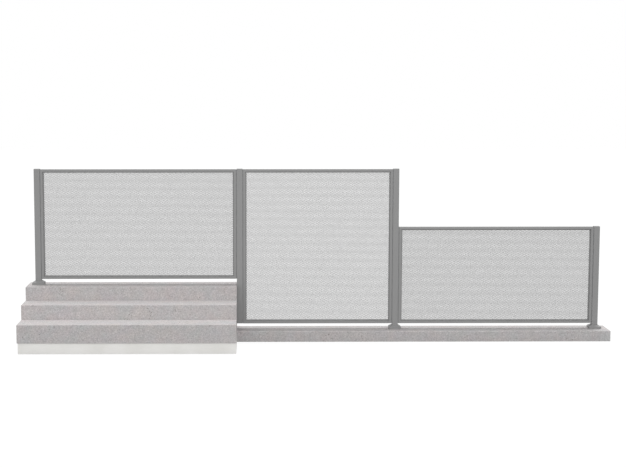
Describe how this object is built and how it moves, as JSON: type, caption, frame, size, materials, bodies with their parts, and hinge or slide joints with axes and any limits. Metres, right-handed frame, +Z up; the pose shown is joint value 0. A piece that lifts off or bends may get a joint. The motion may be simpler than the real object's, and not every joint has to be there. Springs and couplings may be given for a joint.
{
  "type": "perforated pool fence",
  "caption": "Perforated sheet pool fence in framed panels between square posts, stepping up over a flight of concrete steps and running on along a low concrete plinth.",
  "frame": {"origin": "middle of the concrete's underside, which is the ground that the fence stands on", "axes": "+X along the fence from the steps to the low bay's end, -Y the side that the steps face and people walk up, +Z up"},
  "size_m": [7.176, 1.145, 2.117],
  "materials": {
    "concrete": "pale grey cast concrete, fine speckle and faint warm and cool mottling, open pores",
    "lean_concrete": "pale lean concrete, floated smooth, without open pores",
    "powder_coat": "mid grey satin powder coat on extruded aluminium",
    "perforated_sheet": "mid grey powder coated sheet with small round holes in staggered rows",
    "base_plate_metal": "mill finish plate",
    "packer_plastic": "dark grey extruded packing strip"
  },
  "bodies": {
    "root": {"step_footing": "lean_concrete", "step_bottom": "concrete", "step_middle": "concrete", "step_top": "concrete", "plinth": "concrete", "post_1": "powder_coat", "post_2": "powder_coat", "post_3": "powder_coat", "post_4": "powder_coat", "cap_1": "powder_coat", "cap_2": "powder_coat", "cap_3": "powder_coat", "cap_4": "powder_coat", "foot_plug_2": "powder_coat", "base_plate_1": "base_plate_metal", "base_plate_3": "base_plate_metal", "base_plate_4": "base_plate_metal", "base_cover_1": "powder_coat", "base_cover_3": "powder_coat", "base_cover_4": "powder_coat", "step_bay_left_stile": "powder_coat", "step_bay_right_stile": "powder_coat", "step_bay_top_rail": "powder_coat", "step_bay_bottom_rail": "powder_coat", "step_bay_sheet": "perforated_sheet", "mid_bay_left_stile": "powder_coat", "mid_bay_right_stile": "powder_coat", "mid_bay_top_rail": "powder_coat", "mid_bay_bottom_rail": "powder_coat", "mid_bay_sheet": "perforated_sheet", "low_bay_left_stile": "powder_coat", "low_bay_right_stile": "powder_coat", "low_bay_top_rail": "powder_coat", "low_bay_bottom_rail": "powder_coat", "low_bay_sheet": "perforated_sheet", "step_bay_packers": "packer_plastic", "mid_bay_packers": "packer_plastic", "low_bay_packers": "packer_plastic"}
  },
  "joints": []
}
